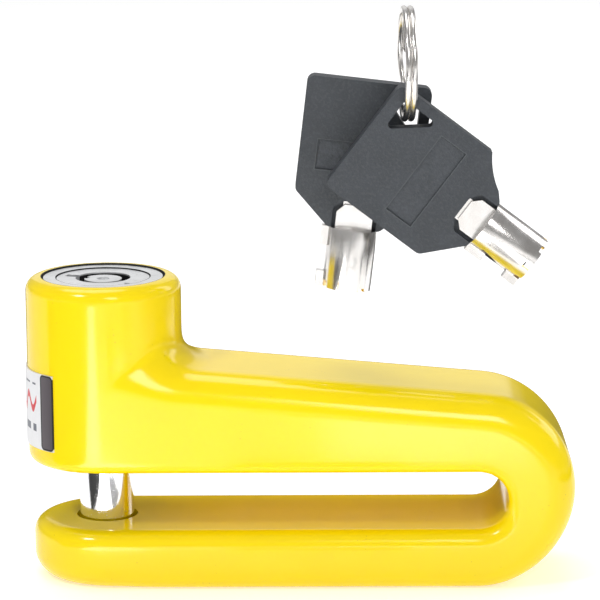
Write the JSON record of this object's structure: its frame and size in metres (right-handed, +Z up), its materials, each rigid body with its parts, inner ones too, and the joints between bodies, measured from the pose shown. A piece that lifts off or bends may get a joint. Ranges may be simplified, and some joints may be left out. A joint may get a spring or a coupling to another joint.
{
  "type": "motorcycle disc brake lock",
  "caption": "U-shaped coated metal disc lock with an upright barrel, push-down plunger, tubular key cylinder and chrome locking pin, with keys on a split ring hanging above it.",
  "frame": {"origin": "on the locking pin's axis, at the flat underside of the lower arm", "axes": "+X from the pin along the arms to the closed bend, +Z up the barrel, -Y the front face"},
  "size_m": [0.1104, 0.0312, 0.1153],
  "materials": {
    "yellow_coating": "thick glossy yellow coating on cast metal",
    "label_foil": "satin printed foil",
    "screw_steel": "blackened steel",
    "seal_rubber": "matt black rubber",
    "spring_steel": "drawn spring wire",
    "satin_nickel": "satin nickel plate",
    "pin_chrome": "polished chrome",
    "tumbler_brass": "turned brass",
    "bow_plastic": "fine moulded grain",
    "blade_nickel": "bright nickel plate"
  },
  "bodies": {
    "lock": {"lock_body": "yellow_coating", "label_plate": "label_foil", "travel_screw": "screw_steel", "wiper_ring": "seal_rubber", "return_spring": "spring_steel"},
    "plunger": {"plunger_sleeve": "satin_nickel", "locking_pin": "pin_chrome", "pin_cross_pin": "screw_steel", "lock_shell": "satin_nickel", "shell_retaining_pin": "screw_steel", "pin_sleeve": "tumbler_brass", "driver_pins": "tumbler_brass", "tumbler_springs": "spring_steel", "latch_spring": "spring_steel"},
    "core": {"spindle": "satin_nickel", "key_pins": "tumbler_brass", "tail_cam": "screw_steel", "cam_clip": "screw_steel"},
    "latch": {"latch_bolt": "satin_nickel"},
    "ring": {"split_ring": "blade_nickel"},
    "key_a": {"key_a_bow": "bow_plastic", "key_a_blade": "blade_nickel"},
    "key_b": {"key_b_bow": "bow_plastic", "key_b_blade": "blade_nickel"}
  },
  "joints": [
    {"name": "plunger_travel", "type": "slide", "parent": "lock", "child": "plunger", "axis": [0, 0, 1], "range_m": [0, 0.016], "deforming": ["return_spring"]},
    {"name": "core_turn", "type": "hinge", "parent": "plunger", "child": "core", "pos_m": [0, 0, 0.054], "axis": [0, 0, -1], "range_deg": [0, 60]},
    {"name": "latch_draw", "type": "slide", "parent": "plunger", "child": "latch", "axis": [1, 0, 0], "range_m": [-0.003, 0]},
    {"name": "ring_swing", "type": "hinge", "parent": "lock", "child": "ring", "pos_m": [0.061, 0, 0.11475], "axis": [0, 1, 0], "range_deg": [-15, 15]},
    {"name": "key_a_swing", "type": "hinge", "parent": "ring", "child": "key_a", "pos_m": [0.061, 0.0044, 0.09388], "axis": [0, 1, 0], "range_deg": [0, 30]},
    {"name": "key_b_swing", "type": "hinge", "parent": "ring", "child": "key_b", "pos_m": [0.061, -0.0044, 0.09388], "axis": [0, -1, 0], "range_deg": [0, 30]}
  ],
  "couplings": [
    {"joint": "core_turn", "follows": "latch_draw", "rad_per_m": -349}
  ]
}
